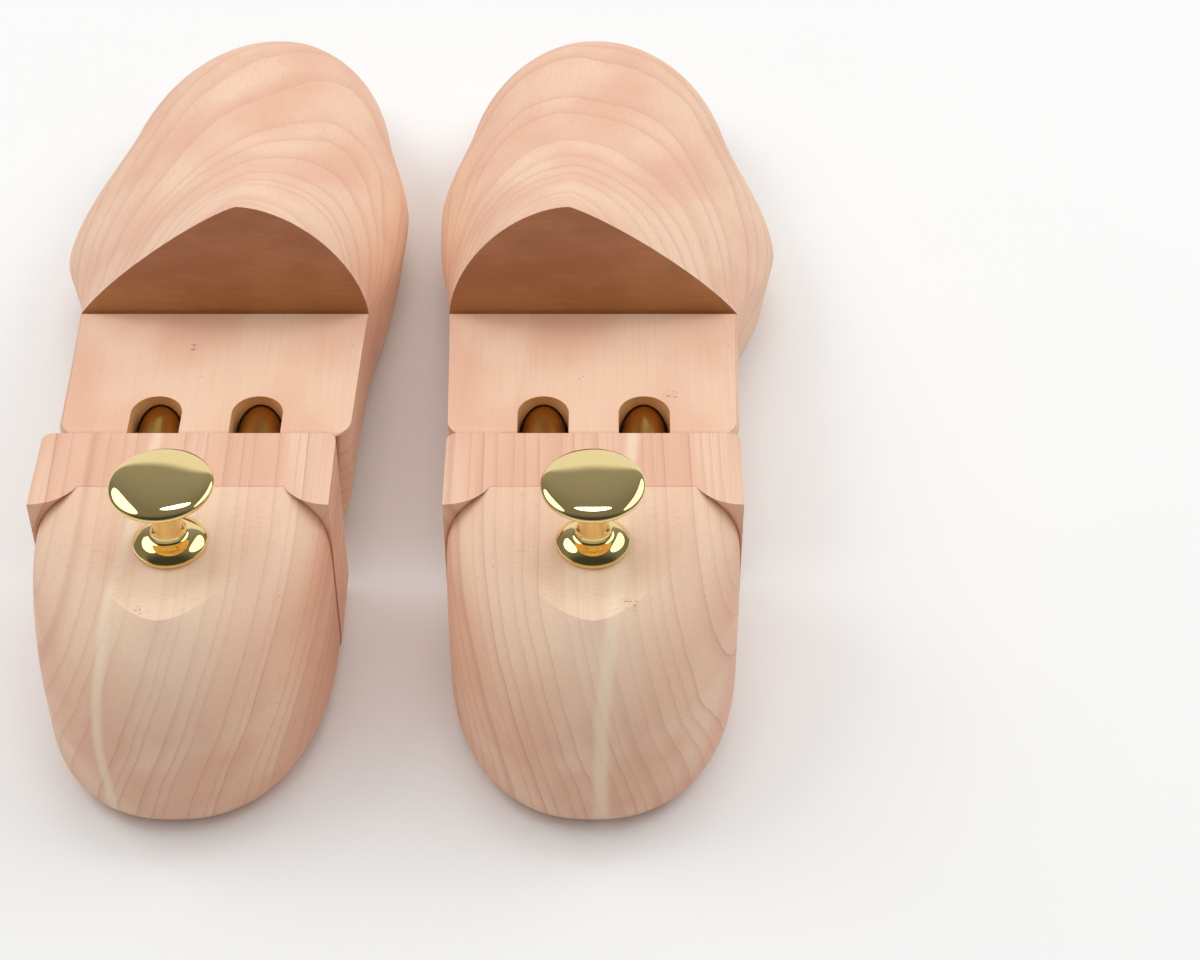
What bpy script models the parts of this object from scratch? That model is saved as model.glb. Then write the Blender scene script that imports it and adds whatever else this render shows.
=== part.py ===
"""A pair of cedar shoe trees: solid forepart, sprung twin tubes, heel block and turned brass knob.

Sizes are in millimetres. Each tree is designed in its own frame: x runs to the outer side of the foot,
y from the back of the heel to the toe, and z up from the floor. The two trees are mirror images, and
the model's origin is on the floor at the middle of the pair.
"""
import math

import bmesh
import bpy

MM = 0.001

# The pair
TREE_SPACING = 92.0
FIT_GAP = 0.3
CUT_PAST = 10.0

# Heel block, from its back to its flat front face
HEEL_LENGTH = 75.5
HEEL_WIDTH = 66.0
HEEL_HEIGHT = 50.0
HEEL_WIDEST_HEIGHT = 20.0
HEEL_SOLE_ROUND = 7.0
HEEL_CORNER_ROUND = 2.4
HEEL_BAND_LENGTH = 18.0
HEEL_BAND_PROUD = 0.4
HEEL_BAND_STEP = 0.4
HEEL_BAND_WRAP = 5.5
HEEL_TABLE_WIDTH = 46.0
HEEL_TABLE_SETBACK = 16.9

# Forepart, from the back of its ledge to the toe
REST_GAP = 13.5
CLOSED_GAP = 0.5
LEDGE_LENGTH = 45.7
LEDGE_HEIGHT = 37.0
LEDGE_WIDTH = 69.0
LEDGE_CORNER_ROUND = 5.0
LEDGE_EDGE_ROUND = 1.8
WIDEST_BELOW_LEDGE = 1.5
RISER_HEIGHT = 32.5
RISER_WIDTH = 72.0
RIDGE_OFFSET = 6.0
SAW_KERF_WIDTH = 0.9
SAW_KERF_DEPTH = 0.8
LEDGE_SOLE_LIFT = 5.5
RISER_SOLE_LIFT = 4.1
SOLE_EDGE_ROUND = 6.0
SOLE_TUCK = 2.1
INSTEP_LENGTH = 54.3
BALL_SLANT = 6.0
BALL_INNER_WIDTH = 41.5
BALL_OUTER_WIDTH = 48.0
BALL_HEIGHT = 46.0
BALL_WIDEST_HEIGHT = 17.5
TREAD_LENGTH = 40.0
BALL_TO_TOE_CAP = 42.0
TOE_CAP_LENGTH = 45.0
TOE_INNER_WIDTH = 34.5
TOE_OUTER_WIDTH = 36.5
TOE_TAPER = 7.0
TOE_HEIGHT = 36.0
TOE_TIP_HEIGHT = 29.0
TOE_WIDEST_HEIGHT = 16.8
TOE_SPRING = 8.0

# Roundness of the curves: 1 is a straight slope, 2 an ellipse, and more is squarer
HEEL_SIDE_CURVE = 5.0
HEEL_BACK_CURVE = 2.0
HEEL_PLAN_CURVE = 2.35
TABLE_PLAN_CURVE = 1.7
KNOB_FACE_CURVE = 2.3
RISER_INNER_CURVE = 1.75
RISER_OUTER_CURVE = 1.18
BALL_INNER_CURVE = 1.9
BALL_OUTER_CURVE = 1.55
TOE_SECTION_CURVE = 2.25
TOE_PLAN_CURVE = 2.3
TOE_SIDE_CURVE = 3.6
TOE_NOSE = 0.997
TOE_TIP_SHARE = 0.42

# Notches that open the ledge over each tube
NOTCH_WIDTH = 12.2
NOTCH_LENGTH = 13.9
NOTCH_ROOF = 2.6

# Twin tubes: a socket tube fixed in the forepart and a plunger tube fixed in the heel block
TUBE_SPACING = 24.0
SOCKET_DIAMETER = 11.0
SOCKET_WALL = 0.5
SOCKET_LENGTH = 86.0
SOCKET_OVERHANG = 5.0
SOCKET_PLUG_LENGTH = 8.0
BEAD_FROM_MOUTH = 30.0
BEAD_LENGTH = 3.0
BEAD_DEPTH = 0.7
PLUNGER_WALL = 0.5
PLUNGER_IN_HEEL = 46.0
SEAT_COLLAR_LENGTH = 3.0
SEAT_SPIGOT_LENGTH = 6.0
BORE_END_ROOM = 1.5

# Springs and cross pins
SPRING_WIRE = 0.9
SPRING_TURNS = 7
SPRING_POINTS_PER_TURN = 8
SPRING_NOSE_LENGTH = 2.5
SPRING_NOSE_CHAMFER = 0.6
PIN_DIAMETER = 2.5
PIN_FROM_TUBE_END = 4.0
PIN_RECESS = 1.0
PIN_PAST_AXIS = 2.0

# Knob, turned in one piece, and its screw
KNOB_DIAMETER = 22.5
KNOB_HEIGHT = 19.5
KNOB_FACE_RISE = 2.1
KNOB_RIM_ROUND = 1.1
KNOB_STEM_DIAMETER = 7.2
KNOB_FLARE = 2.6
KNOB_FOOT_HEIGHT = 4.5
KNOB_FOOT_FILLET = 1.2
KNOB_FLANGE_DIAMETER = 16.1
KNOB_FLANGE_EDGE = 1.2
KNOB_FLANGE_CHAMFER = 0.35
KNOB_FROM_FRONT = 35.6
SCREW_DIAMETER = 3.0
SCREW_POINT_DIAMETER = 0.8
SCREW_POINT_LENGTH = 3.0
SCREW_CHAMFER = 0.4
SCREW_IN_KNOB = 11.0
SCREW_IN_HEEL = 16.0

# Facets
ROUND_SIDES = 20
KNOB_SIDES = 24
PIN_SIDES = 10
SECTION_POINTS = 7
HEEL_POINTS = 10
FLANK_STEPS = 7
PIN_TURN = (0.0, 0.0, math.radians(5.0))
KNOB_DOME_TURN = math.radians(60.0)

# Places that follow from the sizes
BALL_FROM_LEDGE = LEDGE_LENGTH + INSTEP_LENGTH
TOE_CAP_FROM_LEDGE = BALL_FROM_LEDGE + BALL_TO_TOE_CAP
FOREPART_LENGTH = TOE_CAP_FROM_LEDGE + TOE_CAP_LENGTH
OVERALL_LENGTH = HEEL_LENGTH + REST_GAP + FOREPART_LENGTH
LEDGE_BACK = HEEL_LENGTH + REST_GAP
RISER_PLACE = LEDGE_BACK + LEDGE_LENGTH
INSTEP_HEIGHT = LEDGE_HEIGHT + RISER_HEIGHT
HEEL_TRAVEL = REST_GAP - CLOSED_GAP
BORE_RADIUS = SOCKET_DIAMETER / 2 + FIT_GAP
TUBE_HEIGHT = LEDGE_HEIGHT - NOTCH_ROOF - BORE_RADIUS
SOCKET_MOUTH = LEDGE_BACK - SOCKET_OVERHANG
SOCKET_END = SOCKET_MOUTH + SOCKET_LENGTH
SOCKET_INSIDE_RADIUS = SOCKET_DIAMETER / 2 - SOCKET_WALL
COUNTERBORE_DEPTH = SOCKET_OVERHANG - CLOSED_GAP + FIT_GAP
BEAD_INSIDE_RADIUS = SOCKET_INSIDE_RADIUS - BEAD_DEPTH
PLUNGER_RADIUS = BEAD_INSIDE_RADIUS - FIT_GAP
PLUNGER_START = HEEL_LENGTH - PLUNGER_IN_HEEL
COLLAR_START = SOCKET_MOUTH + BEAD_FROM_MOUTH + BEAD_LENGTH + FIT_GAP
PLUNGER_END = COLLAR_START - FIT_GAP
COLLAR_RADIUS = SOCKET_INSIDE_RADIUS - FIT_GAP
SPRING_START = COLLAR_START + SEAT_COLLAR_LENGTH + FIT_GAP
SPRING_END = SOCKET_END - SOCKET_PLUG_LENGTH - FIT_GAP
SPRING_RADIUS = SOCKET_INSIDE_RADIUS - FIT_GAP - SPRING_WIRE / 2
SPRING_NOSE_RADIUS = SPRING_RADIUS - SPRING_WIRE / 2 - FIT_GAP
PIN_TOP = TUBE_HEIGHT + PIN_PAST_AXIS

CEDAR = ("cedar", (0.78, 0.52, 0.36), 0.62, 0.0)
BRASS = ("polished_brass", (0.86, 0.62, 0.22), 0.16, 1.0)
TUBE_BRASS = ("drawn_brass", (0.66, 0.46, 0.20), 0.38, 1.0)
STEEL = ("plain_steel", (0.56, 0.57, 0.58), 0.35, 1.0)


def clear_scene():
    for old in list(bpy.data.objects):
        bpy.data.objects.remove(old, do_unlink=True)


def finish_material(finish):
    name, colour, roughness, metallic = finish
    material = bpy.data.materials.get(name)
    if material is None:
        material = bpy.data.materials.new(name)
        material.use_nodes = True
        shader = material.node_tree.nodes["Principled BSDF"]
        shader.inputs["Base Color"].default_value = (*colour, 1.0)
        shader.inputs["Roughness"].default_value = roughness
        shader.inputs["Metallic"].default_value = metallic
        material.diffuse_color = (*colour, 1.0)
    return material


def add_object(name, data, finish, parent, at=(0.0, 0.0, 0.0), turn=(0.0, 0.0, 0.0)):
    """Link an object at a place given in millimetres in its parent's frame."""
    piece = bpy.data.objects.new(name, data)
    bpy.context.scene.collection.objects.link(piece)
    piece.parent = parent
    piece.location = [value * MM for value in at]
    piece.rotation_euler = turn
    if finish is not None:
        data.materials.append(finish_material(finish))
    return piece


def mesh_from(form, name, smooth_angle=35.0):
    """Turn a bmesh in millimetres into a mesh in metres with its faces pointing out."""
    bmesh.ops.remove_doubles(form, verts=form.verts, dist=1e-5)
    bmesh.ops.recalc_face_normals(form, faces=form.faces)
    bmesh.ops.scale(form, vec=(MM, MM, MM), verts=form.verts)
    mesh = bpy.data.meshes.new(name)
    form.to_mesh(mesh)
    form.free()
    mesh.shade_smooth()
    mesh.set_sharp_from_angle(angle=math.radians(smooth_angle))
    return mesh


def lofted(name, rings):
    """Skin a closed body over rings with equal numbers of points and flat end rings."""
    form = bmesh.new()
    loops = [[form.verts.new(point) for point in ring] for ring in rings]
    count = len(rings[0])
    for low, high in zip(loops, loops[1:]):
        for i in range(count):
            j = (i + 1) % count
            form.faces.new((low[i], low[j], high[j], high[i]))
    form.faces.new(loops[0])
    form.faces.new(loops[-1])
    return mesh_from(form, name)


def turned(name, profile, sides=ROUND_SIDES, smooth_angle=35.0):
    """Spin a profile of (radius, place along the axis) points round +Z."""
    form = bmesh.new()
    points = [form.verts.new((radius, 0.0, along)) for radius, along in profile]
    edges = [form.edges.new(pair) for pair in zip(points, points[1:])]
    if profile[0][0] > 0:
        edges.append(form.edges.new((points[-1], points[0])))
    bmesh.ops.spin(form, geom=points + edges, cent=(0, 0, 0), axis=(0, 0, 1), angle=2 * math.pi,
                   steps=sides, use_merge=True)
    return mesh_from(form, name, smooth_angle)


def extruded(name, outline, low, high, place):
    """Extrude a flat outline from low to high; place(u, v, w) puts a point in space."""
    form = bmesh.new()
    base = form.faces.new([form.verts.new(place(u, v, low)) for u, v in outline])
    grown = bmesh.ops.extrude_face_region(form, geom=[base])
    shift = [b - a for a, b in zip(place(0, 0, low), place(0, 0, high))]
    moved = [item for item in grown["geom"] if isinstance(item, bmesh.types.BMVert)]
    bmesh.ops.translate(form, vec=shift, verts=moved)
    return mesh_from(form, name)


def cutter(name, data, parent, at=(0.0, 0.0, 0.0), turn=(0.0, 0.0, 0.0)):
    tool = add_object(name, data, None, parent, at, turn)
    tool.hide_render = True
    tool.display_type = "WIRE"
    return tool


def cut(piece, tool):
    boolean = piece.modifiers.new(tool.name, "BOOLEAN")
    boolean.operation = "DIFFERENCE"
    boolean.solver = "EXACT"
    boolean.object = tool


def smooth_value(keys, place):
    """Read a smooth curve through (place, value) keys, without overshoot."""
    places = [key[0] for key in keys]
    values = [key[1] for key in keys]
    if place <= places[0]:
        return values[0]
    if place >= places[-1]:
        return values[-1]
    steps = [(values[i + 1] - values[i]) / (places[i + 1] - places[i]) for i in range(len(keys) - 1)]
    slopes = [steps[0]] + [0.0 if a * b <= 0 else 2 * a * b / (a + b) for a, b in zip(steps, steps[1:])]
    slopes.append(steps[-1])
    span = next(i for i in range(len(steps)) if place <= places[i + 1])
    width = places[span + 1] - places[span]
    t = (place - places[span]) / width
    return ((1 + 2 * t) * (1 - t) ** 2 * values[span] + t * (1 - t) ** 2 * width * slopes[span]
            + t * t * (3 - 2 * t) * values[span + 1] + t * t * (t - 1) * width * slopes[span + 1])


def round_off(share, power):
    """Fall from 1 to 0 along a superellipse as share goes from 0 to 1."""
    share = min(max(share, 0.0), 1.0)
    return (1.0 - share ** power) ** (1.0 / power)


def corner_inset(distance, radius):
    """How far a rounded corner draws a side in, at a distance from the end face."""
    if distance >= radius:
        return 0.0
    return radius - math.sqrt(radius ** 2 - (radius - distance) ** 2)


def sole_lift(along):
    """Height of the sole above the floor at a distance in front of the ledge's back face."""
    half_tread = TREAD_LENGTH / 2
    return smooth_value([(0, LEDGE_SOLE_LIFT), (LEDGE_LENGTH, RISER_SOLE_LIFT),
                         (BALL_FROM_LEDGE - half_tread, 0.0), (BALL_FROM_LEDGE + half_tread, 0.0),
                         (FOREPART_LENGTH, TOE_SPRING)], along)


def side_width(ball_width, ball_place, toe_width, along):
    """Half width of one side, from the ledge through the ball to the toe cap."""
    return smooth_value([(0, LEDGE_WIDTH / 2), (LEDGE_LENGTH, RISER_WIDTH / 2), (ball_place, ball_width),
                         (TOE_CAP_FROM_LEDGE, toe_width), (FOREPART_LENGTH, toe_width - TOE_TAPER)], along)


def side_curve(riser_curve, ball_curve, along):
    """Roundness of one side's section, from the riser through the ball to the toe cap."""
    return smooth_value([(LEDGE_LENGTH, riser_curve), (BALL_FROM_LEDGE, ball_curve),
                         (TOE_CAP_FROM_LEDGE, TOE_SECTION_CURVE)], along)


def forepart_section(along):
    """Ring of points of the last-shaped forepart at a distance in front of its back face."""
    into_toe_cap = TOE_NOSE * (along - TOE_CAP_FROM_LEDGE) / TOE_CAP_LENGTH
    plan = round_off(into_toe_cap, TOE_PLAN_CURVE)
    depth = round_off(into_toe_cap, TOE_SIDE_CURVE)
    inset = corner_inset(along, LEDGE_CORNER_ROUND)
    inner = plan * side_width(BALL_INNER_WIDTH, BALL_FROM_LEDGE + BALL_SLANT, TOE_INNER_WIDTH, along) - inset
    outer = plan * side_width(BALL_OUTER_WIDTH, BALL_FROM_LEDGE - BALL_SLANT, TOE_OUTER_WIDTH, along) - inset
    top = smooth_value([(LEDGE_LENGTH, INSTEP_HEIGHT), (BALL_FROM_LEDGE, BALL_HEIGHT),
                        (TOE_CAP_FROM_LEDGE, TOE_HEIGHT), (FOREPART_LENGTH, TOE_TIP_HEIGHT)], along)
    middle = sole_lift(along) + (top - sole_lift(along)) * TOE_TIP_SHARE
    top = middle + (top - middle) * depth
    bottom = middle - (middle - sole_lift(along)) * depth
    widest = smooth_value([(LEDGE_LENGTH, LEDGE_HEIGHT - WIDEST_BELOW_LEDGE),
                           (BALL_FROM_LEDGE, BALL_WIDEST_HEIGHT),
                           (FOREPART_LENGTH, TOE_WIDEST_HEIGHT)], along)
    ridge = plan * smooth_value([(LEDGE_LENGTH, RIDGE_OFFSET), (FOREPART_LENGTH, 0.0)], along)
    edge = min(SOLE_EDGE_ROUND, inner / 2, outer / 2, widest - bottom)
    outer_side = half_section(outer, -ridge, bottom, widest, top,
                              side_curve(RISER_OUTER_CURVE, BALL_OUTER_CURVE, along), edge)
    inner_side = half_section(inner, ridge, bottom, widest, top,
                              side_curve(RISER_INNER_CURVE, BALL_INNER_CURVE, along), edge)
    ring = outer_side + [(-x, z) for x, z in reversed(inner_side[:-1])]
    return [(x, LEDGE_BACK + along, z) for x, z in ring]


def half_section(width, ridge, bottom, widest, top, curve, edge):
    """Points from the sole up one side to the ridge, which lies at x = ridge on this side."""
    tuck = SOLE_TUCK * edge / SOLE_EDGE_ROUND
    points = []
    for i in range(4):
        turn = math.radians(90.0 * i / 3)
        points.append((width - tuck - edge + edge * math.sin(turn), bottom + edge - edge * math.cos(turn)))
    for i in range(SECTION_POINTS):
        turn = math.radians(90.0 * i / (SECTION_POINTS - 1))
        across = abs(math.cos(turn)) ** (2 / curve) if i < SECTION_POINTS - 1 else 0.0
        up = math.sin(turn) ** (2 / curve)
        points.append((ridge + (width - ridge) * across, widest + (top - widest) * up))
    return points


def forepart_stations():
    """Distances from the ledge's back face at which the forepart's section is drawn."""
    corner = [LEDGE_CORNER_ROUND * share for share in (0.0, 0.3, 1.0)]
    ledge = [LEDGE_LENGTH * share for share in (0.5, 1.0)]
    body = [LEDGE_LENGTH + (TOE_CAP_FROM_LEDGE - LEDGE_LENGTH) * i / 7 for i in range(1, 8)]
    turns = [math.radians(90.0 * i / 6) for i in range(1, 7)]
    toe_cap = [TOE_CAP_FROM_LEDGE + TOE_CAP_LENGTH * math.sin(turn) for turn in turns]
    return corner + ledge + body + toe_cap


def across_x(y, z, x):
    """Place for a side view that is extruded across the tree."""
    return (x, y, z)


def up_z(x, y, z):
    """Place for a top view that is extruded upwards."""
    return (x, y, z)


def step_outline():
    """Side view of the wood sawn away above the ledge: rounded back edge, ledge, kerf and riser."""
    rise = LEDGE_EDGE_ROUND
    outline = []
    for i in range(5):
        turn = math.radians(90.0 * i / 4)
        outline.append((LEDGE_BACK + rise * (1 - math.cos(turn)),
                        LEDGE_HEIGHT - rise * (1 - math.sin(turn))))
    outline.append((RISER_PLACE - SAW_KERF_WIDTH, LEDGE_HEIGHT))
    outline.append((RISER_PLACE - SAW_KERF_WIDTH, LEDGE_HEIGHT - SAW_KERF_DEPTH))
    outline.append((RISER_PLACE, LEDGE_HEIGHT - SAW_KERF_DEPTH))
    outline.append((RISER_PLACE, INSTEP_HEIGHT + CUT_PAST))
    outline.append((LEDGE_BACK - CUT_PAST, INSTEP_HEIGHT + CUT_PAST))
    outline.append((LEDGE_BACK - CUT_PAST, LEDGE_HEIGHT - rise))
    return outline


def notch_outline():
    """Top view of one notch: straight sides to the back of the ledge and a half-round front."""
    radius = NOTCH_WIDTH / 2
    centre = LEDGE_BACK + NOTCH_LENGTH - radius
    outline = [(radius, LEDGE_BACK - CUT_PAST)]
    for i in range(13):
        turn = math.radians(180.0 * i / 12)
        outline.append((radius * math.cos(turn), centre + radius * math.sin(turn)))
    outline.append((-radius, LEDGE_BACK - CUT_PAST))
    return outline


def heel_level(height):
    """Outline of the heel block at a height: flat front, full-width band, and shoulders round to the table."""
    rise = max((height - HEEL_WIDEST_HEIGHT) / (HEEL_HEIGHT - HEEL_WIDEST_HEIGHT), 0.0)
    side_share = rise ** HEEL_SIDE_CURVE
    back_share = rise ** HEEL_BACK_CURVE
    inset = corner_inset(height, HEEL_SOLE_ROUND)
    band = HEEL_WIDTH / 2 + HEEL_BAND_PROUD - inset
    width = HEEL_WIDTH / 2 - (HEEL_WIDTH - HEEL_TABLE_WIDTH) / 2 * side_share - inset
    back = HEEL_TABLE_SETBACK * back_share + inset
    curve = HEEL_PLAN_CURVE + (TABLE_PLAN_CURVE - HEEL_PLAN_CURVE) * back_share
    band_back = HEEL_LENGTH - HEEL_BAND_LENGTH - HEEL_BAND_WRAP
    meet = band_back + HEEL_BAND_WRAP * side_share + HEEL_BAND_STEP
    corner = HEEL_CORNER_ROUND
    half = []
    for i in range(3):
        turn = math.radians(45.0 * i)
        half.append((band - corner + corner * math.sin(turn),
                     HEEL_LENGTH - corner + corner * math.cos(turn)))
    for i in range(5):
        turn = math.radians(90.0 * i / 4)
        half.append((band + (width - band) * math.sin(turn),
                     band_back + (meet - band_back) * (1 - math.cos(turn))))
    for i in range(1, HEEL_POINTS + 1):
        turn = math.radians(90.0 * i / HEEL_POINTS)
        across = width * abs(math.cos(turn)) ** (2 / curve) if i < HEEL_POINTS else 0.0
        half.append((across, meet - (meet - back) * math.sin(turn) ** (2 / curve)))
    ring = half + [(-x, y) for x, y in reversed(half[:-1])]
    return [(x, y, height) for x, y in ring]


def heel_heights():
    """Heights at which the heel block's outline is drawn, closer together towards the table."""
    sole = [HEEL_SOLE_ROUND * share for share in (0.0, 0.12, 0.45, 1.0)]
    turns = [math.radians(90.0 * i / FLANK_STEPS) for i in range(FLANK_STEPS + 1)]
    flank = [HEEL_WIDEST_HEIGHT + (HEEL_HEIGHT - HEEL_WIDEST_HEIGHT) * math.sin(turn) for turn in turns]
    return sole + flank


def rod_turn():
    """Turn that lays a piece spun round +Z along +Y."""
    return (math.radians(-90.0), 0.0, 0.0)


def helix_curve(name):
    """Compression spring round the noses of its seat and plug; prints its least gap to itself."""
    rise = SPRING_END - SPRING_START - SPRING_WIRE
    count = SPRING_TURNS * SPRING_POINTS_PER_TURN
    points = []
    for i in range(count + 1):
        turn = 2 * math.pi * i / SPRING_POINTS_PER_TURN
        points.append((SPRING_RADIUS * math.cos(turn), SPRING_RADIUS * math.sin(turn),
                       SPRING_WIRE / 2 + rise * i / count))
    curve = bpy.data.curves.new(name, "CURVE")
    curve.dimensions = "3D"
    curve.bevel_depth = SPRING_WIRE / 2 * MM
    curve.bevel_resolution = 1
    curve.render_resolution_u = 0
    curve.use_fill_caps = True
    spline = curve.splines.new("POLY")
    spline.points.add(len(points) - 1)
    for target, point in zip(spline.points, points):
        target.co = (*[value * MM for value in point], 1.0)
    least = min(math.dist(points[i], points[j]) for i in range(len(points))
                for j in range(i + SPRING_POINTS_PER_TURN // 2, len(points)))
    print(f"{name}: least gap to itself {least - SPRING_WIRE:.2f} mm")
    return curve


def socket_profile():
    """Section of the socket tube's wall, with the rolled bead that stops the plunger."""
    outside = SOCKET_DIAMETER / 2
    inside = SOCKET_INSIDE_RADIUS
    bead = BEAD_FROM_MOUTH
    middle = bead + BEAD_LENGTH / 2
    end = bead + BEAD_LENGTH
    return [(outside, 0), (outside, bead), (outside - BEAD_DEPTH, middle), (outside, end),
            (outside, SOCKET_LENGTH), (inside, SOCKET_LENGTH), (inside, end),
            (inside - BEAD_DEPTH, middle), (inside, bead), (inside, 0)]


def seat_profile():
    """Spring seat: spigot in the plunger tube, stop collar, and a nose that centres the spring."""
    spigot = PLUNGER_RADIUS - PLUNGER_WALL - FIT_GAP
    collar_end = SEAT_SPIGOT_LENGTH + SEAT_COLLAR_LENGTH
    nose_end = collar_end + SPRING_NOSE_LENGTH
    return [(0, 0), (spigot, 0), (spigot, SEAT_SPIGOT_LENGTH), (COLLAR_RADIUS, SEAT_SPIGOT_LENGTH),
            (COLLAR_RADIUS, collar_end), (SPRING_NOSE_RADIUS, collar_end),
            (SPRING_NOSE_RADIUS - SPRING_NOSE_CHAMFER, nose_end), (0, nose_end)]


def plug_profile():
    """Plug in the socket tube's front end, with a nose that centres the spring."""
    return [(0, -SPRING_NOSE_LENGTH), (SPRING_NOSE_RADIUS - SPRING_NOSE_CHAMFER, -SPRING_NOSE_LENGTH),
            (SPRING_NOSE_RADIUS, 0), (COLLAR_RADIUS, 0), (COLLAR_RADIUS, SOCKET_PLUG_LENGTH),
            (0, SOCKET_PLUG_LENGTH)]


def knob_profile():
    """Half section of the knob above the table: flange, domed foot, stem, flare, rim and crowned face."""
    flange = KNOB_FLANGE_DIAMETER / 2
    stem = KNOB_STEM_DIAMETER / 2
    widest = KNOB_DIAMETER / 2
    rim_height = KNOB_HEIGHT - KNOB_FACE_RISE
    under = rim_height - KNOB_RIM_ROUND
    hole = SCREW_DIAMETER / 2 + FIT_GAP
    dome_foot = KNOB_FLANGE_EDGE + KNOB_FLANGE_CHAMFER
    dome_width = flange - KNOB_FLANGE_CHAMFER - stem
    dome_rise = KNOB_FOOT_HEIGHT - dome_foot
    points = [(0, SCREW_IN_KNOB + FIT_GAP), (hole, SCREW_IN_KNOB + FIT_GAP), (hole, FIT_GAP),
              (flange, FIT_GAP), (flange, KNOB_FLANGE_EDGE), (flange - KNOB_FLANGE_CHAMFER, dome_foot)]
    for i in (1, 2, 3):
        turn = KNOB_DOME_TURN * i / 3
        points.append((stem + dome_width * math.cos(turn), dome_foot + dome_rise * math.sin(turn)))
    dome_end = points[-1]
    slope = dome_rise * math.cos(turn) / (dome_width * math.sin(turn))
    meet = dome_end[1] + slope * (dome_end[0] - stem)
    for share in (1 / 3, 2 / 3, 1.0):
        points.append((stem + (dome_end[0] - stem) * (1 - share) ** 2,
                       (1 - share) ** 2 * dome_end[1] + 2 * share * (1 - share) * meet
                       + share ** 2 * (meet + KNOB_FOOT_FILLET)))
    for i in range(4):
        turn = math.radians(90.0 * i / 3)
        points.append((stem + KNOB_FLARE * (1 - math.cos(turn)), under - KNOB_FLARE * (1 - math.sin(turn))))
    for i in range(3):
        turn = math.radians(90.0 * i / 2)
        points.append((widest - KNOB_RIM_ROUND * (1 - math.sin(turn)),
                       rim_height - KNOB_RIM_ROUND * math.cos(turn)))
    for share in (0.97, 0.9, 0.77, 0.5, 0.0):
        crown = math.sqrt(1 - share ** KNOB_FACE_CURVE)
        points.append((widest * share, rim_height + KNOB_FACE_RISE * crown))
    return points


def screw_profile():
    """Double-ended screw: blunt end in the knob, pointed end in the heel block."""
    radius = SCREW_DIAMETER / 2
    point = SCREW_POINT_DIAMETER / 2
    return [(0, SCREW_IN_KNOB), (radius - SCREW_CHAMFER, SCREW_IN_KNOB),
            (radius, SCREW_IN_KNOB - SCREW_CHAMFER), (radius, SCREW_POINT_LENGTH - SCREW_IN_HEEL),
            (point, -SCREW_IN_HEEL), (0, -SCREW_IN_HEEL)]


def round_bar(name, radius, low, high, sides):
    return turned(name, [(0, low), (radius, low), (radius, high), (0, high)], sides)


def pin_hole_cutter(name, parent, at):
    """Hole for a cross pin, from below the wood at z = 0 to just above the pin."""
    hole = round_bar("pin_hole", PIN_DIAMETER / 2 + FIT_GAP, -CUT_PAST, PIN_TOP + FIT_GAP, PIN_SIDES)
    return cutter(f"{name}_hole_cut", hole, parent, at, PIN_TURN)


def cross_pin(name, low, parent, at):
    """Pin driven up from the sole until it holds the tube and what is inside it."""
    return add_object(name, round_bar("cross_pin", PIN_DIAMETER / 2, low + PIN_RECESS, PIN_TOP, PIN_SIDES),
                      STEEL, parent, at, PIN_TURN)


def build_forepart(side, hand, tree, tube_places):
    """Forepart with its sawn step, twin bores, notches and pin holes, and what is fixed in it."""
    rings = [[(hand * x, y, z) for x, y, z in forepart_section(along)] for along in forepart_stations()]
    forepart = add_object(f"{side}_forepart", lofted("forepart", rings), CEDAR, tree)
    half = BALL_OUTER_WIDTH + CUT_PAST
    step = cutter(f"{side}_step_cut", extruded("step", step_outline(), -half, half, across_x), tree)
    cut(forepart, step)
    bore_end = SOCKET_END + BORE_END_ROOM
    pin_place = SOCKET_END - PIN_FROM_TUBE_END
    for position, x in tube_places.items():
        name = f"{side}_{position}"
        bore = cutter(f"{name}_bore_cut",
                      round_bar("bore", BORE_RADIUS, -CUT_PAST, bore_end - LEDGE_BACK, ROUND_SIDES),
                      tree, (x, LEDGE_BACK, TUBE_HEIGHT), rod_turn())
        notch = cutter(f"{name}_notch_cut",
                       extruded("notch", notch_outline(), TUBE_HEIGHT, LEDGE_HEIGHT + CUT_PAST, up_z),
                       tree, (x, 0, 0))
        pin_hole = pin_hole_cutter(f"{name}_socket_pin", tree, (x, pin_place, 0))
        socket = add_object(f"{name}_socket_tube", turned("socket_tube", socket_profile(), smooth_angle=25),
                            TUBE_BRASS, tree, (x, SOCKET_MOUTH, TUBE_HEIGHT), rod_turn())
        plug = add_object(f"{name}_socket_plug", turned("socket_plug", plug_profile()), STEEL, tree,
                          (x, SOCKET_END - SOCKET_PLUG_LENGTH, TUBE_HEIGHT), rod_turn())
        for tool in (bore, notch, pin_hole):
            cut(forepart, tool)
        cut(socket, pin_hole)
        cut(plug, pin_hole)
        cross_pin(f"{name}_socket_pin", sole_lift(pin_place - LEDGE_BACK), tree, (x, pin_place, 0))
        add_object(f"{name}_spring", helix_curve(f"{name}_spring"), STEEL, tree,
                   (x, SPRING_START, TUBE_HEIGHT), rod_turn())


def plunger_bore_profile():
    """Bore for the plunger tube, widened at the front face where the socket tube's mouth goes in."""
    radius = PLUNGER_RADIUS + FIT_GAP
    step = PLUNGER_IN_HEEL - COUNTERBORE_DEPTH
    end = PLUNGER_IN_HEEL + CUT_PAST
    return [(0, -BORE_END_ROOM), (radius, -BORE_END_ROOM), (radius, step), (BORE_RADIUS, step),
            (BORE_RADIUS, end), (0, end)]


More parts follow.
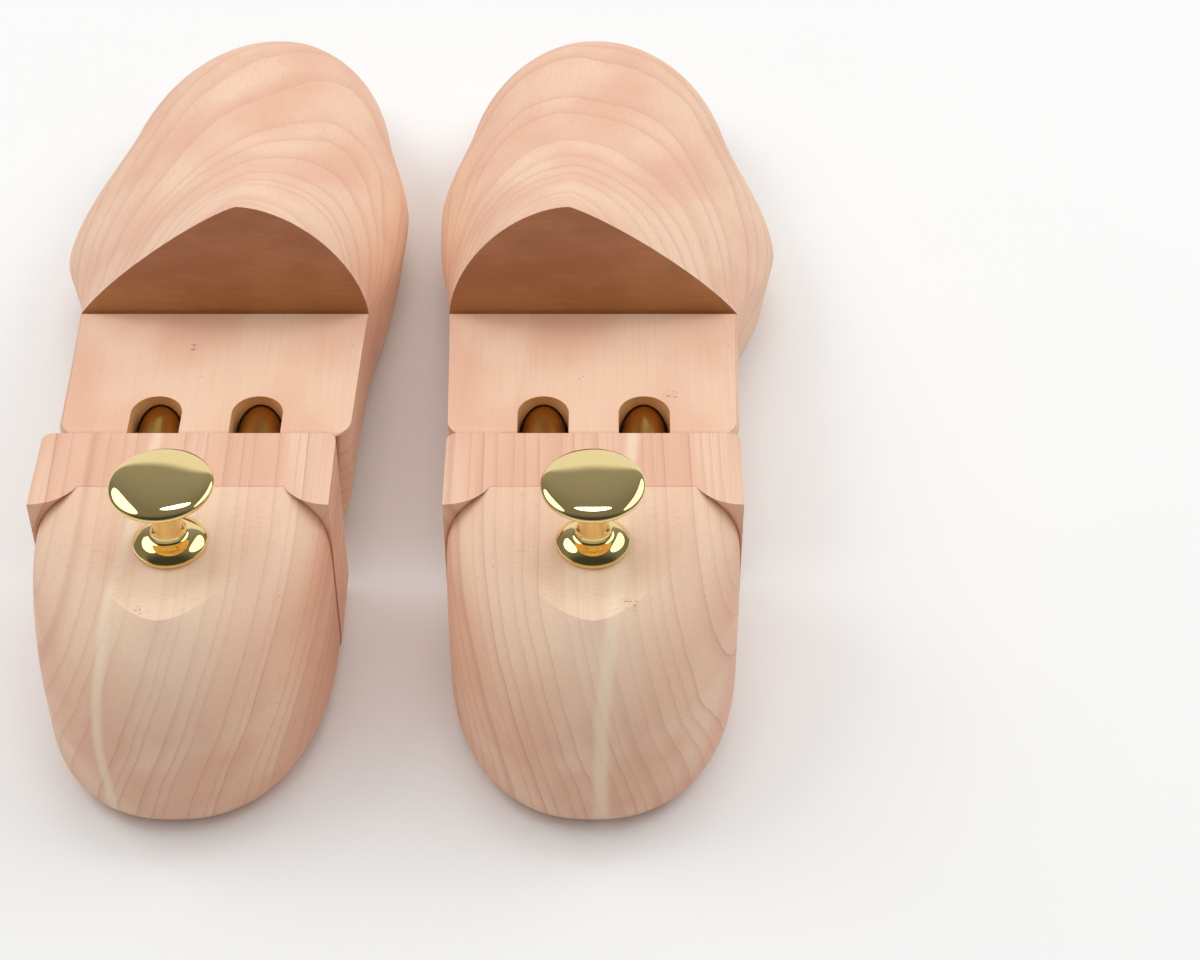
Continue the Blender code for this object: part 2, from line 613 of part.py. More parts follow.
def build_heel(side, slide, tube_places):
    """Heel block with its tubes, pins, spring seats and knob; all of it slides towards the forepart."""
    drop = -TUBE_HEIGHT
    rings = [heel_level(height) for height in heel_heights()]
    heel = add_object(f"{side}_heel_block", lofted("heel_block", rings), CEDAR, slide, (0, 0, drop))
    pin_place = PLUNGER_START + PIN_FROM_TUBE_END
    length = PLUNGER_END - PLUNGER_START
    inside = PLUNGER_RADIUS - PLUNGER_WALL
    wall = [(PLUNGER_RADIUS, 0), (PLUNGER_RADIUS, length), (inside, length), (inside, 0)]
    for position, x in tube_places.items():
        name = f"{side}_{position}"
        bore = cutter(f"{name}_plunger_bore_cut", turned("plunger_bore", plunger_bore_profile()),
                      slide, (x, PLUNGER_START, 0), rod_turn())
        pin_hole = pin_hole_cutter(f"{name}_plunger_pin", slide, (x, pin_place, drop))
        plunger = add_object(f"{name}_plunger_tube", turned("plunger_tube", wall, smooth_angle=25),
                             TUBE_BRASS, slide, (x, PLUNGER_START, 0), rod_turn())
        cut(heel, bore)
        cut(heel, pin_hole)
        cut(plunger, pin_hole)
        cross_pin(f"{name}_plunger_pin", 0.0, slide, (x, pin_place, drop))
        add_object(f"{name}_spring_seat", turned("spring_seat", seat_profile()), STEEL, slide,
                   (x, COLLAR_START - SEAT_SPIGOT_LENGTH, 0), rod_turn())
    knob_place = (0, HEEL_LENGTH - KNOB_FROM_FRONT, HEEL_HEIGHT + drop)
    pilot = round_bar("pilot", SCREW_DIAMETER / 2 + FIT_GAP, -SCREW_IN_HEEL - FIT_GAP, CUT_PAST, PIN_SIDES)
    cut(heel, cutter(f"{side}_pilot_cut", pilot, slide, knob_place))
    add_object(f"{side}_knob", turned("knob", knob_profile(), KNOB_SIDES), BRASS, slide, knob_place)
    add_object(f"{side}_knob_screw", turned("knob_screw", screw_profile(), PIN_SIDES), STEEL, slide,
               knob_place)


def build_tree(side, hand):
    """One tree; hand is 1 for the right foot and -1 for its mirror image."""
    tree = add_object(f"{side}_tree", None, None, None, (hand * TREE_SPACING / 2, -OVERALL_LENGTH / 2, 0))
    slide = add_object(f"{side}_heel_slide", None, None, tree, (0, 0, TUBE_HEIGHT))
    tube_places = {"inner": -hand * TUBE_SPACING / 2, "outer": hand * TUBE_SPACING / 2}
    build_forepart(side, hand, tree, tube_places)
    build_heel(side, slide, tube_places)


clear_scene()
build_tree("right", 1)
build_tree("left", -1)
print(f"heel travel {HEEL_TRAVEL:.1f} mm, tubes {TUBE_HEIGHT:.1f} mm above the floor")
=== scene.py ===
"""Looks of a pair of cedar shoe trees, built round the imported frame.

Sizes are in millimetres in the right tree's own frame: x runs to the outer side of the foot, y from the
back of the heel to the toe, and z up from the floor. The left tree's pieces are mirrored copies of the
right tree's, with a grain of their own.
"""
import math

import bmesh
import bpy
from mathutils import Euler, Matrix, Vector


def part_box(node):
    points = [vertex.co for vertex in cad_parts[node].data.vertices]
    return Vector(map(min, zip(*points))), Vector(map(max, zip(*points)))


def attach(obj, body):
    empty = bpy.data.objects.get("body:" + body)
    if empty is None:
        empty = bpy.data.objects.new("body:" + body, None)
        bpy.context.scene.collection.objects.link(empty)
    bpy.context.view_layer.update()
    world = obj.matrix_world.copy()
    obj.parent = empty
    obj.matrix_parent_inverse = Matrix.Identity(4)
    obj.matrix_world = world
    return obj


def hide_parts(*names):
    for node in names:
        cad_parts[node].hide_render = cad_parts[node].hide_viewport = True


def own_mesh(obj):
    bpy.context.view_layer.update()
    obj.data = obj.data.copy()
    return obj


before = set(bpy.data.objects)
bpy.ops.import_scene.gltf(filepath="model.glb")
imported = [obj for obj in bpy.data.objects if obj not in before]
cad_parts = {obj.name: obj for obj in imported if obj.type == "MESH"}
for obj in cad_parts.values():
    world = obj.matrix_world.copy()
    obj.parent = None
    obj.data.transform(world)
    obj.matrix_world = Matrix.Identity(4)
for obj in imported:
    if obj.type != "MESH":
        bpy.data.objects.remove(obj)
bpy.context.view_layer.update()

MM = 0.001

# Places that the frame gives
heel_low, heel_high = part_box("right_heel_block")
fore_low, fore_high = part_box("right_forepart")
socket_low, socket_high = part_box("right_outer_socket_tube")
plunger_low, plunger_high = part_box("right_outer_plunger_tube")
spring_low, spring_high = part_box("right_outer_spring")
knob_low, knob_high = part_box("right_knob")
pin_low, pin_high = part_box("right_outer_socket_pin")
heel_pin_low, heel_pin_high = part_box("right_outer_plunger_pin")
TREE_AXIS = (heel_low.x + heel_high.x) / 2
HEEL_BACK = heel_low.y


def along_tree(y):
    """A place along the tree in millimetres, from the frame's y in metres."""
    return (y - HEEL_BACK) / MM


# Heel block
HEEL_FRONT = along_tree(heel_high.y)
HEEL_TOP = heel_high.z / MM
HEEL_BAND = (heel_high.x - heel_low.x) / 2 / MM
HEEL_FLANK = HEEL_BAND - 0.4
HEEL_WIDEST = 20.0
HEEL_SIDE_LOOP = 13.0
HEEL_SOLE_ROUND = 7.0
HEEL_CORNER = 2.4
BAND_LENGTH = 23.5
BAND_WRAP = 5.5
BAND_STEP = 0.4
SCALLOP_TURN = math.radians(65)
TABLE_HALF = 23.0
TABLE_SETBACK = 16.9
TABLE_DROP = 0.08
EDGE_SOFTENING = 0.3
EAR_ROOM = 2.0
HEEL_SIDE_CURVE = 7.5
HEEL_BACK_CURVE = 2.0
HEEL_PLAN_CURVE = 2.35
TABLE_PLAN_CURVE = 1.7
SCALLOP_STEPS = 12
FLANK_STEPS = 40
SHOULDER_STEPS = 36

# Forepart, from the back of its ledge
LEDGE_BACK = along_tree(fore_low.y)
FOREPART_LENGTH = along_tree(fore_high.y) - LEDGE_BACK
INSTEP_HEIGHT = fore_high.z / MM
LEDGE_LENGTH = 45.7
RISER = LEDGE_BACK + LEDGE_LENGTH
LEDGE_HEIGHT = 37.0
LEDGE_HALF = 34.5
LEDGE_CORNER = 5.0
LEDGE_EDGE = 1.8
RISER_HALF = 36.0
RISER_WIDEST = 35.5
RIDGE_OFFSET = 6.0
KERF_WIDTH = 0.9
KERF_DEPTH = 0.8
LEDGE_SOLE_LIFT = 5.5
RISER_SOLE_LIFT = 4.1
SOLE_EDGE = 6.0
SOLE_TUCK = 2.1
BALL_PLACE = 100.0
BALL_SLANT = 6.0
BALL_INNER = 41.5
BALL_OUTER = 48.0
BALL_HEIGHT = 46.0
BALL_WIDEST = 17.5
HALF_TREAD = 20.0
TOE_CAP_PLACE = 142.0
TOE_INNER = 34.5
TOE_OUTER = 36.5
TOE_TAPER = 7.0
TOE_HEIGHT = 36.0
TOE_TIP_HEIGHT = 29.0
TOE_WIDEST = 16.8
TOE_SPRING = 8.0
TOE_NOSE = 0.9998
TOE_TIP_SHARE = 0.42
TOE_PLAN_CURVE = 2.3
TOE_SIDE_CURVE = 3.6
TOE_SECTION_CURVE = 2.25
RISER_CURVES = (1.75, 1.18)
BALL_CURVES = (1.9, 1.55)
LEDGE_STEPS = 6
BODY_STEPS = 32
TOE_STEPS = 36
SECTION_STEPS = 22

# Tubes, notches and pins
TUBE_OFFSET = ((socket_low.x + socket_high.x) / 2 - TREE_AXIS) / MM
TUBE_HEIGHT = (socket_low.z + socket_high.z) / 2 / MM
SOCKET_RADIUS = (socket_high.x - socket_low.x) / 2 / MM
PLUNGER_RADIUS = (plunger_high.x - plunger_low.x) / 2 / MM
SOCKET_MOUTH = along_tree(socket_low.y)
SOCKET_END = along_tree(socket_high.y)
PLUNGER_START = along_tree(plunger_low.y)
PLUNGER_END = along_tree(plunger_high.y)
TUBE_WALL = 0.5
MOUTH_ROLL = 0.25
MOUTH_EASE = 0.1
BEAD_START = 30.0
BEAD_LENGTH = 3.0
BEAD_DEPTH = 0.7
BEAD_SHARES = (0.0, 0.15, 0.35, 0.5, 0.65, 0.85, 1.0)
BORE_GAP = 0.3
BORE_ROOM = 1.5
COUNTERBORE_DEPTH = 4.8
NOTCH_RADIUS = 6.1
NOTCH_LENGTH = 13.9
PIN_RADIUS = (pin_high.x - pin_low.x) / 2 / MM
PIN_PLACE = along_tree((pin_low.y + pin_high.y) / 2)
HEEL_PIN_PLACE = along_tree((heel_pin_low.y + heel_pin_high.y) / 2)
SPRING_RADIUS = (spring_high.x - spring_low.x) / 2 / MM
SPRING_START = along_tree(spring_low.y)
SPRING_END = along_tree(spring_high.y)
SPRING_WIRE = 0.9
SPRING_TURNS = 7
STEPS_IN_A_TURN = 28

# Knob, from the table up
KNOB_PLACE = along_tree((knob_low.y + knob_high.y) / 2)
KNOB_RADIUS = (knob_high.x - knob_low.x) / 2 / MM
TABLE_TOP = HEEL_TOP - TABLE_DROP
KNOB_HEIGHT = knob_high.z / MM - TABLE_TOP
KNOB_FLANGE = 8.05
KNOB_FLANGE_CHAMFER = 0.2
KNOB_FLANGE_EDGE = 1.1
KNOB_FLANGE_ROUND = 0.16
KNOB_DOME_BEND = (6.4, 2.62)
KNOB_DOME_TOP = (4.75, 3.05)
KNOB_FOOT_FILLET = 2.1
KNOB_STEM = 3.35
KNOB_FLARE = 1.9
KNOB_FACE_RISE = 2.1
KNOB_FACE_CURVE = 2.3
KNOB_RIM_ROUND = 1.1

# Camera and light
CAMERA_SIDE = 1.5
CAMERA_BACK = -347.0
CAMERA_HEIGHT = 434.0
CAMERA_PITCH = 43.34
FOCAL_PIXELS = 2504.0
IMAGE_WIDTH = 1200.0
SENSOR_WIDTH = 36.0
FLOOR_SIZE = 6.0
HORIZON_TILT = math.radians(34)

# Limits of the modelling tools: points this close are one, and a cutter reaches this far past the wood
SEAM_GAP = 0.0001
SPIN_GAP = 0.001
SLIVER = 0.002
OVERCUT = 10.0


# Small helpers for modelling

def deselect_all():
    bpy.ops.object.select_all(action="DESELECT")


def pick(piece):
    """Select one piece alone and make it active."""
    deselect_all()
    piece.select_set(True)
    bpy.context.view_layer.objects.active = piece


def edit(on=True):
    bpy.ops.object.mode_set(mode="EDIT" if on else "OBJECT")


def settle(piece):
    """Put a piece's place, turn and scale into its mesh."""
    pick(piece)
    bpy.ops.object.transform_apply(location=True, rotation=True, scale=True)
    return piece


def smooth(piece, angle=32.0):
    pick(piece)
    bpy.ops.object.shade_smooth_by_angle(angle=math.radians(angle))
    return piece


def plane_flat(piece, area=80.0):
    """Shade the large flat faces of a piece flat, those over an area in square millimetres."""
    pick(piece)
    edit()
    bpy.ops.mesh.select_all(action="DESELECT")
    form = bmesh.from_edit_mesh(piece.data)
    for face in form.faces:
        face.select_set(face.calc_area() > area * MM * MM)
    bmesh.update_edit_mesh(piece.data)
    bpy.ops.mesh.faces_shade_flat()
    bpy.ops.mesh.select_all(action="DESELECT")
    edit(False)
    return piece


def at_tree(x, y, z):
    """Place in the model, in metres, of a point of the right tree in millimetres."""
    return (TREE_AXIS + x * MM, HEEL_BACK + y * MM, z * MM)


def wrapped(name, rings):
    """Wrap a grid primitive round a stack of closed rings, sew its seam and close its two ends."""
    deselect_all()
    around = len(rings[0])
    bpy.ops.mesh.primitive_grid_add(x_subdivisions=around, y_subdivisions=len(rings) - 1, size=1.0)
    piece = bpy.context.object
    piece.name = name
    points = [point for ring in rings for point in ring + ring[:1]]
    for vertex, point in zip(piece.data.vertices, points):
        vertex.co = at_tree(*point)
    edit()
    bpy.ops.mesh.select_all(action="SELECT")
    bpy.ops.mesh.remove_doubles(threshold=SEAM_GAP * MM)
    bpy.ops.mesh.select_all(action="DESELECT")
    bpy.ops.mesh.select_mode(type="EDGE")
    bpy.ops.mesh.select_non_manifold()
    bpy.ops.mesh.edge_face_add()
    bpy.ops.mesh.select_mode(type="VERT")
    bpy.ops.mesh.select_all(action="SELECT")
    bpy.ops.mesh.normals_make_consistent(inside=False)
    edit(False)
    return piece


def spun(name, profile, steps=72):
    """Draw a profile of (radius, height) points by extruding one vertex, then spin it round +Z."""
    deselect_all()
    bpy.ops.mesh.primitive_plane_add(size=MM)
    piece = bpy.context.object
    piece.name = name
    edit()
    bpy.ops.mesh.select_all(action="SELECT")
    bpy.ops.mesh.merge(type="CENTER")
    here = (0.0, 0.0)
    for i, (radius, height) in enumerate(profile):
        step = {"value": ((radius - here[0]) * MM, 0.0, (height - here[1]) * MM)}
        if i == 0:
            bpy.ops.transform.translate(**step)
        else:
            bpy.ops.mesh.extrude_vertices_move(TRANSFORM_OT_translate=step)
        here = (radius, height)
    bpy.ops.mesh.select_all(action="SELECT")
    if profile[0][0] > 0:
        close_profile(piece)
    bpy.ops.mesh.spin(steps=steps, angle=2 * math.pi, center=(0, 0, 0), axis=(0, 0, 1))
    bpy.ops.mesh.select_all(action="SELECT")
    bpy.ops.mesh.remove_doubles(threshold=SPIN_GAP * MM)
    bpy.ops.mesh.normals_make_consistent(inside=False)
    edit(False)
    return piece


def close_profile(piece):
    """Join the two ends of the profile that is being drawn, so that it spins into a wall."""
    form = bmesh.from_edit_mesh(piece.data)
    bpy.ops.mesh.select_all(action="DESELECT")
    for vertex in form.verts:
        vertex.select = len(vertex.link_edges) == 1
    bmesh.update_edit_mesh(piece.data)
    bpy.ops.mesh.edge_face_add()
    bpy.ops.mesh.select_all(action="SELECT")


def lay_along(piece, x, y, z):
    """Turn a piece that was spun round +Z so that it runs along the tree, and move it to its place."""
    piece.rotation_euler = (math.radians(-90), 0, 0)
    piece.location = at_tree(x, y, z)
    return settle(piece)


def stand_up(piece, x, y, z):
    piece.location = at_tree(x, y, z)
    return settle(piece)


def rod(radius, length, sides=48):
    """Plain rod from its origin up, for cutting with."""
    deselect_all()
    bpy.ops.mesh.primitive_cylinder_add(vertices=sides, radius=radius * MM, depth=length * MM,
                                        location=(0, 0, length / 2 * MM))
    return settle(bpy.context.object)


def prism(outline, low, high, place):
    """Extrude a flat outline; place(u, v, w) gives a point of the tree in millimetres."""
    deselect_all()
    bpy.ops.mesh.primitive_circle_add(vertices=len(outline), fill_type="NGON")
    piece = bpy.context.object
    for vertex, (u, v) in zip(piece.data.vertices, outline):
        vertex.co = at_tree(*place(u, v, low))
    start, end = at_tree(*place(0, 0, low)), at_tree(*place(0, 0, high))
    edit()
    bpy.ops.mesh.select_all(action="SELECT")
    shift = [b - a for a, b in zip(start, end)]
    bpy.ops.mesh.extrude_region_move(TRANSFORM_OT_translate={"value": shift})
    bpy.ops.mesh.select_all(action="SELECT")
    bpy.ops.mesh.normals_make_consistent(inside=False)
    edit(False)
    return piece


def carve(piece, tool):
    """Cut a tool out of a piece and delete the tool."""
    pick(piece)
    boolean = piece.modifiers.new("carve", "BOOLEAN")
    boolean.operation = "DIFFERENCE"
    boolean.object = tool
    bpy.ops.object.modifier_apply(modifier=boolean.name)
    bpy.data.objects.remove(tool, do_unlink=True)


def soften(piece):
    """Round the sharp edges of a piece a little, as sanding does."""
    pick(piece)
    bevel = piece.modifiers.new("sanded_edges", "BEVEL")
    bevel.width = EDGE_SOFTENING * MM
    bevel.segments = 3
    bevel.limit_method = "ANGLE"
    bevel.angle_limit = math.radians(50)
    bpy.ops.object.modifier_apply(modifier=bevel.name)


def drop_slivers(piece):
    """Dissolve the edges and faces of next to no size that cuts leave behind."""
    pick(piece)
    edit()
    bpy.ops.mesh.select_all(action="SELECT")
    bpy.ops.mesh.dissolve_degenerate(threshold=SLIVER * MM)
    edit(False)


def mirrored(piece, name):
    """Copy a piece of the right tree to the left tree."""
    pick(piece)
    bpy.ops.object.duplicate()
    copy = bpy.context.object
    copy.name = name
    copy.scale = (-1, 1, 1)
    settle(copy)
    edit()
    bpy.ops.mesh.select_all(action="SELECT")
    bpy.ops.mesh.normals_make_consistent(inside=False)
    edit(False)
    return copy


# Curves shared by the shapes

def arc(count, start=0.0, end=90.0):
    """Angles in radians, evenly spaced from start to end in degrees."""
    return [math.radians(start + (end - start) * i / count) for i in range(count + 1)]


def eased(keys, place):
    """Read a smooth curve through (place, value) keys, without overshoot."""
    places = [key[0] for key in keys]
    values = [key[1] for key in keys]
    if place <= places[0]:
        return values[0]
    if place >= places[-1]:
        return values[-1]
    steps = [(values[i + 1] - values[i]) / (places[i + 1] - places[i]) for i in range(len(keys) - 1)]
    slopes = [steps[0]] + [0.0 if a * b <= 0 else 2 * a * b / (a + b) for a, b in zip(steps, steps[1:])]
    slopes.append(steps[-1])
    span = next(i for i in range(len(steps)) if place <= places[i + 1])
    width = places[span + 1] - places[span]
    t = (place - places[span]) / width
    return ((1 + 2 * t) * (1 - t) ** 2 * values[span] + t * (1 - t) ** 2 * width * slopes[span]
            + t * t * (3 - 2 * t) * values[span + 1] + t * t * (t - 1) * width * slopes[span + 1])


def rounded(share, curve):
    """Fall from 1 to 0 along a superellipse as share goes from 0 to 1."""
    share = min(max(share, 0.0), 1.0)
    return (1.0 - share ** curve) ** (1.0 / curve)


def bend(start, control, end, count):
    """Points of a curve from start, towards control and to end, without its first."""
    points = []
    for i in range(1, count + 1):
        s = i / count
        points.append(tuple((1 - s) ** 2 * a + 2 * s * (1 - s) * b + s ** 2 * c
                            for a, b, c in zip(start, control, end)))
    return points


def corner_inset(distance, radius):
    """How far a rounded corner draws a side in, at a distance from the end face."""
    if distance >= radius:
        return 0.0
    return radius - math.sqrt(radius ** 2 - (radius - distance) ** 2)


# Forepart

def sole_lift(along):
    return eased([(0, LEDGE_SOLE_LIFT), (LEDGE_LENGTH, RISER_SOLE_LIFT), (BALL_PLACE - HALF_TREAD, 0.0),
                  (BALL_PLACE + HALF_TREAD, 0.0), (FOREPART_LENGTH, TOE_SPRING)], along)


def side_width(ball, ball_place, toe, along):
    return eased([(0, LEDGE_HALF), (LEDGE_LENGTH, RISER_HALF), (ball_place, ball), (TOE_CAP_PLACE, toe),
                  (FOREPART_LENGTH, toe - TOE_TAPER)], along)


def forepart_ring(along):
    """Section of the forepart at a distance in front of the ledge's back face."""
    into_cap = TOE_NOSE * (along - TOE_CAP_PLACE) / (FOREPART_LENGTH - TOE_CAP_PLACE)
    plan = rounded(into_cap, TOE_PLAN_CURVE)
    depth = rounded(into_cap, TOE_SIDE_CURVE)
    inset = corner_inset(along, LEDGE_CORNER)
    inner = plan * side_width(BALL_INNER, BALL_PLACE + BALL_SLANT, TOE_INNER, along) - inset
    outer = plan * side_width(BALL_OUTER, BALL_PLACE - BALL_SLANT, TOE_OUTER, along) - inset
    top = eased([(LEDGE_LENGTH, INSTEP_HEIGHT), (BALL_PLACE, BALL_HEIGHT), (TOE_CAP_PLACE, TOE_HEIGHT),
                 (FOREPART_LENGTH, TOE_TIP_HEIGHT)], along)
    middle = sole_lift(along) + (top - sole_lift(along)) * TOE_TIP_SHARE
    top = middle + (top - middle) * depth
    bottom = middle - (middle - sole_lift(along)) * depth
    widest = eased([(LEDGE_LENGTH, RISER_WIDEST), (BALL_PLACE, BALL_WIDEST),
                    (FOREPART_LENGTH, TOE_WIDEST)], along)
    ridge = plan * eased([(LEDGE_LENGTH, RIDGE_OFFSET), (FOREPART_LENGTH, 0.0)], along)
    edge = min(SOLE_EDGE, inner / 2, outer / 2, widest - bottom)
    halves = []
    for side, width, shift in ((1, outer, -ridge), (0, inner, ridge)):
        curve = eased([(LEDGE_LENGTH, RISER_CURVES[side]), (BALL_PLACE, BALL_CURVES[side]),
                       (TOE_CAP_PLACE, TOE_SECTION_CURVE)], along)
        tuck = min(SOLE_TUCK * edge / SOLE_EDGE, (widest - bottom - edge) / 3)
        round_x = width - tuck - edge
        half = [(round_x + edge * math.sin(t), bottom + edge - edge * math.cos(t)) for t in arc(6)]
        for t in arc(SECTION_STEPS)[:-1]:
            half.append((shift + (width - shift) * math.cos(t) ** (2 / curve),
                         widest + (top - widest) * math.sin(t) ** (2 / curve)))
        halves.append(half)
    ring = halves[0] + [(-ridge, top)] + [(-x, z) for x, z in reversed(halves[1])]
    return [(x, LEDGE_BACK + along, z) for x, z in ring]


def evenly(start, end, steps):
    """Places from start to end, without start."""
    return [start + (end - start) * i / steps for i in range(1, steps + 1)]


def forepart_stations():
    """Places of the sections along the forepart, closer where its ends round off."""
    corner = [LEDGE_CORNER * (1 - math.cos(t)) for t in arc(6)]
    ledge = evenly(LEDGE_CORNER, LEDGE_LENGTH, LEDGE_STEPS)
    body = evenly(LEDGE_LENGTH, TOE_CAP_PLACE, BODY_STEPS)
    toe = [TOE_CAP_PLACE + (FOREPART_LENGTH - TOE_CAP_PLACE) * math.sin(t) for t in arc(TOE_STEPS)[1:]]
    return corner + ledge + body + toe


def step_outline():
    """Side view of the wood that was sawn away over the ledge."""
    over = INSTEP_HEIGHT + OVERCUT
    behind = LEDGE_BACK - OVERCUT
    kerf_floor = LEDGE_HEIGHT - KERF_DEPTH
    outline = [(LEDGE_BACK + LEDGE_EDGE * (1 - math.cos(t)), LEDGE_HEIGHT - LEDGE_EDGE * (1 - math.sin(t)))
               for t in arc(8)]
    outline += [(RISER - KERF_WIDTH, LEDGE_HEIGHT), (RISER - KERF_WIDTH, kerf_floor), (RISER, kerf_floor),
                (RISER, over), (behind, over), (behind, LEDGE_HEIGHT - LEDGE_EDGE)]
    return outline


def notch_outline(x):
    """Plan of the round-ended notch over the tube at x."""
    centre = LEDGE_BACK + NOTCH_LENGTH - NOTCH_RADIUS
    behind = LEDGE_BACK - OVERCUT
    round_end = [(x + NOTCH_RADIUS * math.cos(t), centre + NOTCH_RADIUS * math.sin(t))
                 for t in arc(40, 0, 180)]
    return [(x + NOTCH_RADIUS, behind)] + round_end + [(x - NOTCH_RADIUS, behind)]


def make_forepart():
    """Last-shaped block with its sawn ledge, two bores, the notches over them and the pin holes."""
    piece = wrapped("right_forepart_wood", [forepart_ring(along) for along in forepart_stations()])
    reach = BALL_OUTER + OVERCUT
    carve(piece, prism(step_outline(), -reach, reach, lambda y, z, x: (x, y, z)))
    bore_start = LEDGE_BACK - OVERCUT
    for x in (-TUBE_OFFSET, TUBE_OFFSET):
        bore = rod(SOCKET_RADIUS + BORE_GAP, SOCKET_END + BORE_ROOM - bore_start, sides=64)
        carve(piece, lay_along(bore, x, bore_start, TUBE_HEIGHT))
        notch = prism(notch_outline(x), TUBE_HEIGHT, LEDGE_HEIGHT + OVERCUT, lambda u, v, w: (u, v, w))
        carve(piece, notch)
        pin = rod(PIN_RADIUS + BORE_GAP, TUBE_HEIGHT + OVERCUT, sides=24)
        carve(piece, stand_up(pin, x, PIN_PLACE, -OVERCUT))
    return plane_flat(smooth(piece))


# Heel block

def heel_ring(height):
    """Outline of the heel block at a height: flat front, full-width band and round shoulders."""
    rise = max((height - HEEL_WIDEST) / (HEEL_TOP - HEEL_WIDEST), 0.0)
    side_share = rise ** HEEL_SIDE_CURVE
    back_share = rise ** HEEL_BACK_CURVE
    inset = corner_inset(height, HEEL_SOLE_ROUND)
    band = HEEL_BAND - inset
    width = HEEL_FLANK - (HEEL_FLANK - TABLE_HALF) * side_share - inset
    back = TABLE_SETBACK * back_share + inset
    curve = HEEL_PLAN_CURVE + (TABLE_PLAN_CURVE - HEEL_PLAN_CURVE) * back_share
    band_back = HEEL_FRONT - BAND_LENGTH
    meet = band_back + BAND_WRAP * side_share + BAND_STEP
    corner_x = band - HEEL_CORNER
    corner_y = HEEL_FRONT - HEEL_CORNER
    half = [(corner_x + HEEL_CORNER * math.sin(t), corner_y + HEEL_CORNER * math.cos(t)) for t in arc(5)]
    for i in range(SCALLOP_STEPS + 1):
        t = SCALLOP_TURN * i / SCALLOP_STEPS
        half.append((band + (width - band) * math.sin(t) / math.sin(SCALLOP_TURN),
                     band_back + (meet - band_back) * (1 - math.cos(t)) / (1 - math.cos(SCALLOP_TURN))))
    for t in arc(FLANK_STEPS)[1:-1]:
        half.append((width * math.cos(t) ** (2 / curve), meet - (meet - back) * math.sin(t) ** (2 / curve)))
    ring = half + [(0, back)] + [(-x, y) for x, y in reversed(half)]
    return [(x, y, height) for x, y in ring]


def make_heel():
    """Heel block with its table a hair below the band, its stepped bores, pin holes and screw hole."""
    levels = [HEEL_SOLE_ROUND * (1 - math.cos(t)) for t in arc(7)] + [HEEL_SIDE_LOOP]
    levels += [HEEL_WIDEST + (HEEL_TOP - HEEL_WIDEST) * math.sin(t) for t in arc(SHOULDER_STEPS)]
    piece = wrapped("right_heel_wood", [heel_ring(height) for height in levels])
    soften(piece)
    table_front = HEEL_FRONT - BAND_LENGTH + BAND_WRAP + BAND_STEP
    reach = HEEL_BAND + OVERCUT / 2
    behind = -OVERCUT / 2
    ears = HEEL_FRONT - BAND_LENGTH - EAR_ROOM
    table = [(-TABLE_HALF, table_front), (-TABLE_HALF, ears), (-reach, ears), (-reach, behind),
             (reach, behind), (reach, ears), (TABLE_HALF, ears), (TABLE_HALF, table_front)]
    carve(piece, prism(table, TABLE_TOP, HEEL_TOP + OVERCUT / 2, lambda u, v, w: (u, v, w)))
    for x in (-TUBE_OFFSET, TUBE_OFFSET):
        bore = rod(PLUNGER_RADIUS + BORE_GAP, HEEL_FRONT + OVERCUT - PLUNGER_START + BORE_ROOM)
        carve(piece, lay_along(bore, x, PLUNGER_START - BORE_ROOM, TUBE_HEIGHT))
        mouth = rod(SOCKET_RADIUS + BORE_GAP, COUNTERBORE_DEPTH + OVERCUT)
        carve(piece, lay_along(mouth, x, HEEL_FRONT - COUNTERBORE_DEPTH, TUBE_HEIGHT))
        pin = rod(PIN_RADIUS + BORE_GAP, TUBE_HEIGHT + OVERCUT, sides=24)
        carve(piece, stand_up(pin, x, HEEL_PIN_PLACE, -OVERCUT))
    screw_low, screw_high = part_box("right_knob_screw")
    screw_radius = (screw_high.x - screw_low.x) / 2 / MM + BORE_GAP
    screw = rod(screw_radius, HEEL_TOP - screw_low.z / MM + OVERCUT, sides=24)
    carve(piece, stand_up(screw, 0, KNOB_PLACE, screw_low.z / MM - BORE_GAP))
    drop_slivers(piece)
    return plane_flat(smooth(piece))


# Knob, tubes and springs

def knob_profile():
    """Half section of the knob: flange, domed foot, stem, flare, rolled rim and crowned face."""
    edge_height = KNOB_FLANGE_EDGE - KNOB_FLANGE_ROUND
    points = [(0, 0), (KNOB_FLANGE - KNOB_FLANGE_CHAMFER, 0), (KNOB_FLANGE, KNOB_FLANGE_CHAMFER)]
    for t in arc(5):
        points.append((KNOB_FLANGE - KNOB_FLANGE_ROUND * (1 - math.cos(t)),
                       edge_height + KNOB_FLANGE_ROUND * math.sin(t)))
    points += bend(points[-1], KNOB_DOME_BEND, KNOB_DOME_TOP, 16)
    slope = (KNOB_DOME_TOP[1] - KNOB_DOME_BEND[1]) / (KNOB_DOME_BEND[0] - KNOB_DOME_TOP[0])
    meet = KNOB_DOME_TOP[1] + slope * (KNOB_DOME_TOP[0] - KNOB_STEM)
    points += bend(KNOB_DOME_TOP, (KNOB_STEM, meet), (KNOB_STEM, meet + KNOB_FOOT_FILLET), 12)
    rim_height = KNOB_HEIGHT - KNOB_FACE_RISE
    under = rim_height - KNOB_RIM_ROUND
    for t in arc(12):
        points.append((KNOB_STEM + KNOB_FLARE * (1 - math.cos(t)), under - KNOB_FLARE * (1 - math.sin(t))))
    for t in arc(8):
        points.append((KNOB_RADIUS - KNOB_RIM_ROUND * (1 - math.sin(t)),
                       rim_height - KNOB_RIM_ROUND * math.cos(t)))
    for t in arc(30)[1:]:
        share = max(math.cos(t), 0.0)
        points.append((KNOB_RADIUS * share,
                       rim_height + KNOB_FACE_RISE * math.sqrt(1 - share ** KNOB_FACE_CURVE)))
    return points


